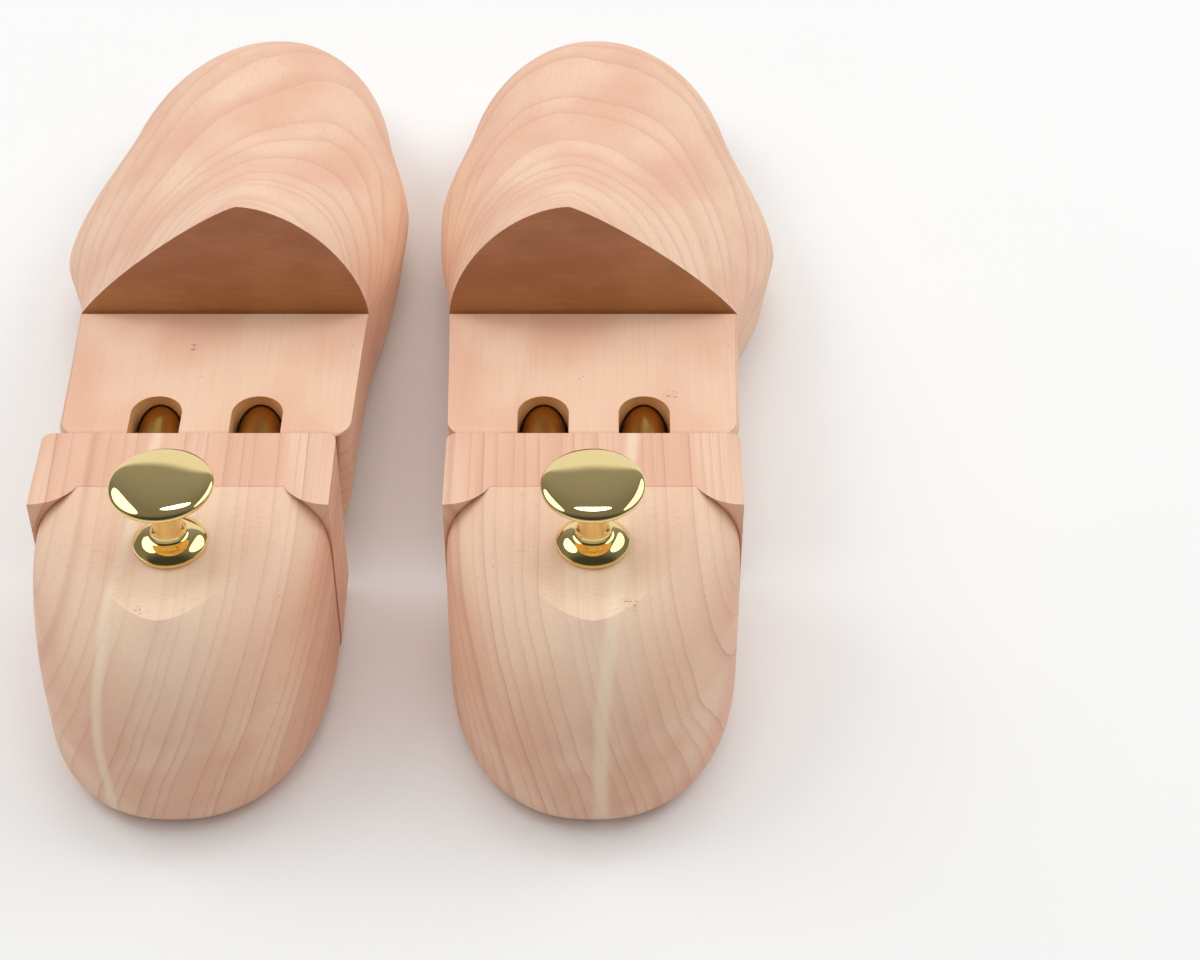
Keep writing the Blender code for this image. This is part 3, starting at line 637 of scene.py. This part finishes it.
def make_knob():
    piece = spun("right_knob_brass", knob_profile(), steps=128)
    return smooth(stand_up(piece, 0, KNOB_PLACE, TABLE_TOP), angle=24)


def tube_wall(radius, length, bead=None):
    """Section of a tube's wall, from its mouth, with a rolled mouth and, if asked, a rolled bead."""
    inside = radius - TUBE_WALL
    outer = [(radius - MOUTH_ROLL, 0), (radius, MOUTH_ROLL)]
    inner = [(inside + MOUTH_EASE, 0), (inside, MOUTH_EASE)]
    if bead is not None:
        for share in BEAD_SHARES:
            sunk = BEAD_DEPTH * math.sin(math.pi * share) ** 2
            outer.append((radius - sunk, bead + BEAD_LENGTH * share))
            inner.append((inside - sunk, bead + BEAD_LENGTH * share))
    return outer + [(radius, length), (inside, length)] + inner[::-1]


def make_socket_tube(x, name):
    piece = spun(name, tube_wall(SOCKET_RADIUS, SOCKET_END - SOCKET_MOUTH, BEAD_START), steps=64)
    return smooth(lay_along(piece, x, SOCKET_MOUTH, TUBE_HEIGHT), angle=40)


def make_plunger_tube(x, name):
    piece = spun(name, tube_wall(PLUNGER_RADIUS, PLUNGER_END - PLUNGER_START), steps=64)
    return smooth(lay_along(piece, x, PLUNGER_START, TUBE_HEIGHT), angle=40)


def make_spring(x, name):
    """Wind a ring of wire into a compression spring with the Screw modifier and cap its ends."""
    deselect_all()
    wire = SPRING_WIRE / 2
    middle = SPRING_RADIUS - wire
    bpy.ops.mesh.primitive_circle_add(vertices=12, radius=wire * MM, location=(middle * MM, 0, wire * MM),
                                      rotation=(math.radians(90), 0, 0))
    piece = bpy.context.object
    piece.name = name
    settle(piece)
    wind = piece.modifiers.new("wind", "SCREW")
    wind.angle = 2 * math.pi * SPRING_TURNS
    wind.screw_offset = (SPRING_END - SPRING_START - SPRING_WIRE) * MM
    wind.steps = wind.render_steps = STEPS_IN_A_TURN * SPRING_TURNS
    bpy.ops.object.modifier_apply(modifier=wind.name)
    edit()
    bpy.ops.mesh.select_all(action="DESELECT")
    bpy.ops.mesh.select_mode(type="EDGE")
    bpy.ops.mesh.select_non_manifold()
    bpy.ops.mesh.edge_face_add()
    bpy.ops.mesh.select_mode(type="VERT")
    bpy.ops.mesh.select_all(action="SELECT")
    bpy.ops.mesh.normals_make_consistent(inside=False)
    edit(False)
    return smooth(lay_along(piece, x, SPRING_START, TUBE_HEIGHT), angle=50)


# Materials

def colour(red, green, blue):
    """Linear colour from screen values of 0 to 255."""
    shares = [value / 255 for value in (red, green, blue)]
    return tuple(s / 12.92 if s <= 0.04045 else ((s + 0.055) / 1.055) ** 2.4 for s in shares)


class Value:
    """A socket's output; arithmetic on it adds Math nodes."""

    def __init__(self, nodes, socket):
        self.nodes = nodes
        self.socket = socket

    def maths(self, operation, *values):
        return self.nodes.node("Math", dict(enumerate(values)), operation=operation)

    def __add__(self, other):
        return self.maths("ADD", self, other)

    def __sub__(self, other):
        return self.maths("SUBTRACT", self, other)

    def __mul__(self, other):
        return self.maths("MULTIPLY", self, other)

    def __truediv__(self, other):
        return self.maths("DIVIDE", self, other)

    def __pow__(self, other):
        return self.maths("POWER", self, other)

    def __rsub__(self, other):
        return self.maths("SUBTRACT", other, self)

    def __abs__(self):
        return self.maths("ABSOLUTE", self)

    def floor(self):
        return self.maths("FLOOR", self)

    __radd__ = __add__
    __rmul__ = __mul__


class Nodes:
    """A node tree; node() adds any node to it."""

    def __init__(self, tree):
        self.tree = tree

    def node(self, kind, sockets=None, output=0, **settings):
        """Add a node: its settings first, then the values or links of its sockets."""
        made = self.tree.nodes.new("ShaderNode" + kind)
        for name, value in settings.items():
            setattr(made, name, value)
        for socket, value in (sockets or {}).items():
            self.feed(made.inputs[socket], value)
        return Value(self, made.outputs[output])

    def feed(self, socket, value):
        if isinstance(value, Value):
            self.tree.links.new(value.socket, socket)
        else:
            socket.default_value = value

    def mix(self, factor, first, second):
        """Mix two colours."""
        sides = {}
        for index, side in ((6, first), (7, second)):
            sides[index] = side if isinstance(side, Value) else (*side, 1.0)
        return self.node("Mix", {0: factor, **sides}, output=2, data_type="RGBA")

    def step(self, value, low, high):
        """Rise smoothly from 0 to 1 as value goes from low to high."""
        return self.node("MapRange", {"Value": value, "From Min": low, "From Max": high},
                         interpolation_type="SMOOTHSTEP")

    def split(self, vector):
        """The x, y and z of a vector."""
        parts = self.node("SeparateXYZ", {"Vector": vector}).socket.node
        return [Value(self, socket) for socket in parts.outputs]


class Finish(Nodes):
    """A material and its pattern makers; origin is the tree's own zero point, in millimetres."""

    def __init__(self, name, origin=(0, 0, 0)):
        self.material = bpy.data.materials.new(name)
        self.material.use_nodes = True
        super().__init__(self.material.node_tree)
        self.shader = self.tree.nodes["Principled BSDF"]
        self.origin = origin

    def set(self, **sockets):
        """Feed the shader's own sockets; an underscore in a name stands for a space."""
        for name, value in sockets.items():
            self.feed(self.shader.inputs[name.replace("_", " ")], value)

    def place(self, scale=1.0):
        """Object coordinates in millimetres from the origin, times a scale for each axis."""
        scales = scale if isinstance(scale, tuple) else (scale,) * 3
        seat = [-value * stretch for value, stretch in zip(self.origin, scales)]
        coordinates = self.node("TexCoord", output="Object")
        return self.node("Mapping", {"Vector": coordinates, "Location": seat,
                                     "Scale": [stretch / MM for stretch in scales]})

    def noise(self, scale, detail=2.0, roughness=0.5):
        """Noise with so many features in a millimetre, or a number for each axis."""
        return self.node("TexNoise", {"Vector": self.place(scale), "Scale": 1.0, "Detail": detail,
                                      "Roughness": roughness})

    def bump(self, height, strength, depth):
        """Bump whose height of 1 is so many millimetres."""
        return self.node("Bump", {"Height": height, "Strength": strength, "Distance": depth * MM})


PALE_CEDAR = colour(243, 207, 178)
PINK_CEDAR = colour(235, 186, 158)
LATE_CEDAR = colour(222, 166, 138)
LINE_CEDAR = colour(166, 106, 84)
SILK_CEDAR = colour(216, 162, 132)
CREAM_CEDAR = colour(252, 230, 202)
END_CEDAR = colour(206, 146, 111)
# Painted shade and warm light reflected up from the ledge, for the riser's foot
PAINTED_BOUNCE_END_CEDAR = colour(196, 135, 78)
# Dark end grain for the riser's blotches and streaks, and painted shade deep in the notches
DARK_END_AND_SHADE_CEDAR = colour(156, 98, 57)
# Painted golden reflection of the brass tubes on the notch walls
PAINTED_BRASS_GLOW_CEDAR = colour(232, 182, 116)
TORN_CEDAR = colour(120, 74, 52)
LOG_LEAN = 0.02
STREAK_LEAN = 0.10


def growth_rings(wood, x, y, z, pith, ring):
    """Years of growth round a pith line along the tree: soft late wood, its sharp edge, and a strength."""
    wander = (wood.noise((0.014, 0.004, 0.014), 1.0) - 0.5) * 8.0
    ripple = (wood.noise((0.09, 0.012, 0.09), 2.0) - 0.5) * 1.4
    across = x - pith[0] + y * LOG_LEAN
    up = z - pith[1]
    even = ((across * across + up * up) ** 0.5 + wander + ripple) / ring
    uneven = wood.node("TexNoise", {"W": even * 0.45, "Scale": 1.0, "Detail": 1.0}, noise_dimensions="1D")
    count = even + (uneven - 0.5) * 2.2
    year = count.floor()
    phase = count - year
    end = 1 - wood.step(phase, 0.965, 1.0)
    late = wood.step(phase, 0.15, 0.98) ** 3.0 * end
    edge = phase ** 20.0 * end
    strength = wood.node("TexWhiteNoise", {"W": year + 0.5}, noise_dimensions="1D")
    return late, edge, strength * strength


def torn_grain(wood, x, y, spots):
    """Small tears in the surface round (x, y, reach) spots."""
    crumbs = wood.step(wood.noise((1.1, 1.4, 1.1), 3.0, 0.7), 0.55, 0.62)
    torn = None
    for place_x, place_y, reach in spots:
        away = ((x - place_x) * (x - place_x) + (y - place_y) * (y - place_y)) ** 0.5
        near = 1 - wood.step(away, reach * 0.35, reach)
        torn = near if torn is None else torn + near
    return torn * crumbs


def end_grain(wood, x, y, z, late, facing):
    """Masks and colour of the sawn riser: brown end grain with fine streaks across, golden at its foot with
    painted shade and painted warm light reflected up from the ledge.
    """
    waver = (wood.noise((0.03, 0.03, 0.10), 2.0) - 0.5) * 20.0
    rise = wood.step(z + waver, LEDGE_HEIGHT - 4, INSTEP_HEIGHT - 10)
    streak = wood.noise((0.06, 0.5, 1.5), 5.0, 0.7)
    blotch = wood.noise((0.06, 0.05, 0.09), 3.0)
    # Golden foot: painted shade and painted warm light reflected up from the ledge
    sawn = wood.mix(rise, PAINTED_BOUNCE_END_CEDAR, END_CEDAR)
    sawn = wood.mix(wood.step(blotch, 0.36, 0.70) * 0.40, sawn, DARK_END_AND_SHADE_CEDAR)
    sawn = wood.mix(wood.step(streak, 0.38, 0.75) * 0.22, sawn, DARK_END_AND_SHADE_CEDAR)
    mask = wood.step(abs(facing[1]), 0.80, 0.97) * (1 - wood.step(y, RISER + 0.5, RISER + 2))
    return mask, wood.mix(late * 0.10, sawn, LINE_CEDAR)


def notch_walls(wood, x, y, facing):
    """Mask of the walls of the two notches over the tubes."""
    beside = 1 - wood.step(y, LEDGE_BACK + NOTCH_LENGTH, LEDGE_BACK + NOTCH_LENGTH + 0.6)
    behind = wood.step(y, LEDGE_BACK + 0.2, LEDGE_BACK + 1.6)
    within = 1 - wood.step(abs(x), TUBE_OFFSET + NOTCH_RADIUS + 1, TUBE_OFFSET + NOTCH_RADIUS + 2)
    return beside * behind * within * (1 - wood.step(abs(facing[2]), 0.5, 0.9))


def planed_masks(wood, z, facing):
    """Masks of the heel behind its band, which pales as it turns up, partly the cream tone of the wood and
    partly painted light on its upward faces, and of fine scores on its table.
    """
    below = 1 - wood.step(z, TABLE_TOP + 0.02, TABLE_TOP + 0.06)
    # Paler the more a face turns up: painted light over the wood's cream tone
    planed_and_lit = wood.step(facing[2], 0.10, 0.95) * below
    scores = wood.step(wood.noise((0.35, 3.4, 0.3), 2.0, 0.6), 0.48, 0.72)
    patches = wood.step(wood.noise((0.08, 0.08, 0.08), 2.0), 0.32, 0.65)
    return planed_and_lit, wood.step(facing[2], 0.97, 0.999) * below * scores * (0.35 + 0.65 * patches)


def cedar(name, origin, pith, ring, lines, streaks, tears, forepart=False):
    """Cedar sawn from a log whose pith runs along the tree.

    pith is the log's centre in x and z, ring the width of a year's growth, lines how strongly its dark
    edge shows, streaks are the (x, half width) of pale streaks, and tears are the spots of torn grain.
    """
    wood = Finish(name, origin)
    x, y, z = wood.split(wood.place())
    facing = wood.split(wood.node("TexCoord", output="Normal"))
    late, edge, strength = growth_rings(wood, x, y, z, pith, ring)
    silk = wood.noise((2.4, 0.03, 2.4), 3.0, 0.6)
    fibre = wood.noise((6.0, 0.22, 6.0), 2.0, 0.7)
    strands = wood.step(silk, 0.42, 0.78)
    if forepart:
        # The ledge is calmer than the rest, with a paler band slanting across it: painted light where its
        # middle is lit and painted shade on its pinker sides, over the wood's own blush
        ledge = wood.step(facing[2], 0.96, 0.995) * (1 - wood.step(y, RISER - 1, RISER))
        calm = 1 - 0.8 * ledge
        late = late * calm
        edge = edge * calm
        strands = strands * (1 - 0.45 * ledge)
        painted_light_band = 1 - wood.step(abs(x - 4 - (y - LEDGE_BACK - 15) * 0.4), 2.0, 16.0)
        blush = 1 - wood.step(wood.noise((0.05, 0.03, 0.05), 2.0) + painted_light_band * 0.16, 0.30, 0.72)
        tint = wood.mix(blush, PALE_CEDAR, PINK_CEDAR)
    else:
        planed_and_lit, scored = planed_masks(wood, z, facing)
        blush = wood.step(wood.noise((0.06, 0.012, 0.06), 2.0) + 0.06, 0.34, 0.66)
        tint = wood.mix(blush * (1 - planed_and_lit * 0.4), PALE_CEDAR, PINK_CEDAR)
    tint = wood.mix(late * 0.38, tint, LATE_CEDAR)
    tint = wood.mix(strands * 0.34, tint, SILK_CEDAR)
    tint = wood.mix(edge * (0.18 + 0.82 * strength) * lines, tint, LINE_CEDAR)
    for place, half in streaks:
        waver = (wood.noise((0.03, 0.02, 0.03), 1.0) - 0.5) * 4.0
        away = abs(x - place - y * STREAK_LEAN + waver)
        tint = wood.mix((1 - wood.step(away, half * 0.2, half)) * 0.6, tint, CREAM_CEDAR)
    if forepart:
        scored = 0.0
        sawn, riser_tint_with_painted_foot = end_grain(wood, x, y, z, late, facing)
        tint = wood.mix(sawn, tint, riser_tint_with_painted_foot)
        # Notch walls: painted golden reflection of the brass, darkening to painted shade down towards the
        # tube
        notch_glow_and_shade = wood.mix(wood.step(z, TUBE_HEIGHT + 1, LEDGE_HEIGHT - 1), DARK_END_AND_SHADE_CEDAR, PAINTED_BRASS_GLOW_CEDAR)
        tint = wood.mix(notch_walls(wood, x, y, facing) * 0.85, tint, notch_glow_and_shade)
    else:
        sawn = wood.step(facing[1], 0.75, 1.0)
        tint = wood.mix(sawn * 0.3, tint, END_CEDAR)
        # The middle of the table is palest: painted light, where the table round the knob is lit brightest
        painted_lit_middle = 1 - wood.step(abs(x - 2), 3.0, 17.0)
        tint = wood.mix(planed_and_lit * (0.24 + painted_lit_middle * 0.30), tint, CREAM_CEDAR)
        tint = wood.mix(scored * 0.42, tint, SILK_CEDAR)
    specks = wood.node("TexVoronoi", {"Vector": wood.place((0.32, 0.2, 0.32)), "Scale": 1.0})
    speckled = (1 - wood.step(specks, 0.03, 0.08)) * wood.step(wood.noise(0.08, 1.0), 0.52, 0.60)
    tint = wood.mix(speckled * 0.45, tint, TORN_CEDAR)
    torn = torn_grain(wood, x, y, tears)
    tint = wood.mix(torn * 0.85, tint, TORN_CEDAR)
    height = fibre * 0.5 + silk * 0.4 - edge * 0.3 - torn * 1.5 - scored * 0.7
    wood.set(Base_Color=tint, Roughness=0.48 + silk * 0.14 + sawn * 0.10,
             Normal=wood.bump(height, 0.35, 0.05))
    wood.shader.inputs["Specular IOR Level"].default_value = 0.35
    return wood.material


def brass(name, tint, roughness, grain, wear):
    """Brass: grain is the number of fine lines in a millimetre for each axis, wear how much it is dulled."""
    metal = Finish(name)
    lines = metal.noise(grain, 3.0, 0.6)
    dull = metal.step(metal.noise(0.12, 3.0, 0.55), 0.45, 0.75) * wear
    darker = tuple(value * share for value, share in zip(tint, (0.80, 0.70, 0.62)))
    metal.set(Base_Color=metal.mix(dull, tint, darker),
              Roughness=roughness + lines * roughness * 0.35 + dull * 0.12,
              Normal=metal.bump(lines, 0.12, 0.01))
    metal.shader.inputs["Metallic"].default_value = 1.0
    return metal.material


def steel(name):
    metal = Finish(name)
    lines = metal.noise((2.0, 0.1, 2.0), 3.0, 0.6)
    metal.set(Base_Color=metal.mix(lines, colour(168, 170, 172), colour(196, 197, 198)),
              Roughness=0.28 + lines * 0.15, Normal=metal.bump(lines, 0.15, 0.01))
    metal.shader.inputs["Metallic"].default_value = 1.0
    return metal.material


def paint(piece, material):
    piece.data.materials.clear()
    piece.data.materials.append(material)


# The trees

def tree_origin(hand):
    """Zero point of a tree in millimetres: hand is 1 for the right one and -1 for the left one."""
    return (hand * TREE_AXIS / MM, HEEL_BACK / MM, 0.0)


def build_pieces():
    """Model the right tree's pieces and mirror them; give each piece its body and CAD node."""
    model = {"forepart": make_forepart(), "heel_block": make_heel(), "knob": make_knob()}
    for position, x in (("inner", -TUBE_OFFSET), ("outer", TUBE_OFFSET)):
        model[f"{position}_socket_tube"] = make_socket_tube(x, f"right_{position}_socket_brass")
        model[f"{position}_plunger_tube"] = make_plunger_tube(x, f"right_{position}_plunger_brass")
        model[f"{position}_spring"] = make_spring(x, f"right_{position}_spring_wire")
    polished = brass("polished_brass", colour(247, 222, 154), roughness=0.03, grain=0.6, wear=0.08)
    drawn = brass("drawn_brass", colour(206, 160, 84), roughness=0.22, grain=(2.2, 0.05, 2.2), wear=0.6)
    plain = steel("plain_steel")
    right, left = tree_origin(1), tree_origin(-1)
    woods = {
        "right_forepart": cedar("right_forepart_cedar", right, pith=(14, -190), ring=3.4, lines=0.40,
                                streaks=[], tears=[(18.5, 103.5, 2.2)], forepart=True),
        "left_forepart": cedar("left_forepart_cedar", left, pith=(-30, -150), ring=3.9, lines=0.40,
                               streaks=[], tears=[(-6, 121, 1.8)], forepart=True),
        "right_heel_block": cedar("right_heel_cedar", right, pith=(-320, -60), ring=3.1, lines=0.85,
                                  streaks=[(1.6, 2.5)], tears=[(8.0, 21.5, 2.2)]),
        "left_heel_block": cedar("left_heel_cedar", left, pith=(300, -90), ring=3.5, lines=0.85,
                                 streaks=[(-14, 2.0)], tears=[(-4, 20, 2.0)]),
    }
    mirror_image = {part: mirrored(piece, piece.name.replace("right", "left"))
                    for part, piece in model.items()}
    for side, pieces in (("right", model), ("left", mirror_image)):
        for part, piece in pieces.items():
            node = f"{side}_{part}"
            heel_part = part in ("heel_block", "knob") or "plunger" in part
            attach(piece, f"{side}_heel" if heel_part else "foreparts")
            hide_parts(node)
            if node in woods:
                paint(piece, woods[node])
            elif part == "knob":
                paint(piece, polished)
            elif part.endswith("tube"):
                paint(piece, drawn)
            else:
                paint(piece, plain)
                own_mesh(piece)
    # The steel pieces inside keep their CAD shapes and get a better finish
    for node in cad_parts.values():
        if not node.hide_render:
            paint(node, plain)


# Floor, light and camera

def softbox(name, turn, height, reach, width, tall, roll, radiance):
    """Oval lamp aimed at the right knob, from a direction in degrees to the right of +Y and up.

    reach, width and tall are in metres, and roll turns the lamp about the line along which it is aimed.
    """
    aim = at_tree(0, KNOB_PLACE, HEEL_TOP)
    turn, height = math.radians(turn), math.radians(height)
    away = (math.sin(turn) * math.cos(height), math.cos(turn) * math.cos(height), math.sin(height))
    place = [start + reach * part for start, part in zip(aim, away)]
    bpy.ops.object.light_add(type="AREA", location=place)
    lamp = bpy.context.object
    lamp.name = name
    lamp.data.shape = "ELLIPSE"
    lamp.data.size = width
    lamp.data.size_y = tall
    lamp.data.energy = radiance * math.pi * math.pi / 4 * width * tall
    aimed = Euler((math.pi / 2 - height, 0, math.pi - turn)).to_matrix()
    lamp.rotation_euler = (aimed @ Matrix.Rotation(math.radians(roll), 3, "Z")).to_euler()


def build_floor():
    deselect_all()
    bpy.ops.mesh.primitive_plane_add(size=FLOOR_SIZE, location=(0, 0, 0))
    floor = bpy.context.object
    floor.name = "pale_floor"
    pale = Finish("pale_floor")
    mottle = pale.noise(0.01)
    pale.set(Base_Color=pale.mix(mottle, (0.90, 0.90, 0.895), (0.92, 0.92, 0.915)),
             Roughness=0.7 + mottle * 0.05)
    paint(floor, pale.material)


def build_world():
    """Studio round the trees: soft light from above, and what polished brass mirrors.

    The mirrored studio is bright low down beyond the toes and grey above. Behind the camera it is grey low
    down and dark above.
    """
    world = bpy.data.worlds.new("studio")
    bpy.context.scene.world = world
    world.use_nodes = True
    sky = Nodes(world.node_tree)
    direction = sky.split(sky.node("TexCoord", output="Generated"))
    tilt = direction[2] * math.cos(HORIZON_TILT) - direction[1] * math.sin(HORIZON_TILT)
    tilt = tilt + direction[0] * (0.08 + 1.8 * direction[0])
    glow = sky.mix(sky.step(tilt, 0.0, 0.12), (0.88, 0.90, 0.96), (0.32, 0.32, 0.33))
    front = sky.mix(sky.step(tilt, 0.05, 0.75), glow, (0.20, 0.20, 0.19))
    rear = sky.mix(sky.step(direction[2], 0.38, 0.60), (0.42, 0.42, 0.42), (0.05, 0.05, 0.045))
    mirrored_studio = sky.mix(sky.step(direction[1], -0.45, 0.05), rear, front)
    above = sky.mix(sky.step(direction[2], 0.1, 1.0), (0.26, 0.26, 0.26), (1.10, 1.10, 1.10))
    behind = sky.mix(sky.step(direction[1], -0.8, 0.2), (0.58, 0.58, 0.58), (1.0, 1.0, 1.0))
    soft = sky.node("Mix", {0: 1.0, 6: above, 7: behind}, output=2, data_type="RGBA", blend_type="MULTIPLY")
    ray = sky.node("LightPath", output="Is Camera Ray")
    gloss = sky.node("LightPath", output="Is Glossy Ray")
    lit = sky.mix(gloss, soft, mirrored_studio)
    sky.feed(sky.tree.nodes["Background"].inputs["Color"], sky.mix(ray, lit, (0.60, 0.60, 0.60)))


def build_studio():
    build_floor()
    build_world()
    softbox("right_lamp", turn=58, height=38, reach=1.25, width=1.35, tall=0.62, roll=-45, radiance=1.80)
    softbox("left_lamp", turn=-67, height=44, reach=1.25, width=1.00, tall=0.62, roll=45, radiance=2.14)
    softbox("top_lamp", turn=0, height=72, reach=1.15, width=0.46, tall=0.17, roll=0, radiance=5.2)


def build_camera():
    """Camera where the photograph was taken from."""
    place = at_tree(CAMERA_SIDE, CAMERA_BACK, CAMERA_HEIGHT)
    bpy.ops.object.camera_add(location=place, rotation=(math.radians(90 - CAMERA_PITCH), 0, 0))
    camera = bpy.context.object
    camera.data.sensor_width = SENSOR_WIDTH
    camera.data.lens = FOCAL_PIXELS / IMAGE_WIDTH * SENSOR_WIDTH
    camera.data.clip_start = 0.01
    bpy.context.scene.camera = camera
    bpy.context.scene.view_settings.view_transform = "Standard"


build_pieces()
build_studio()
build_camera()
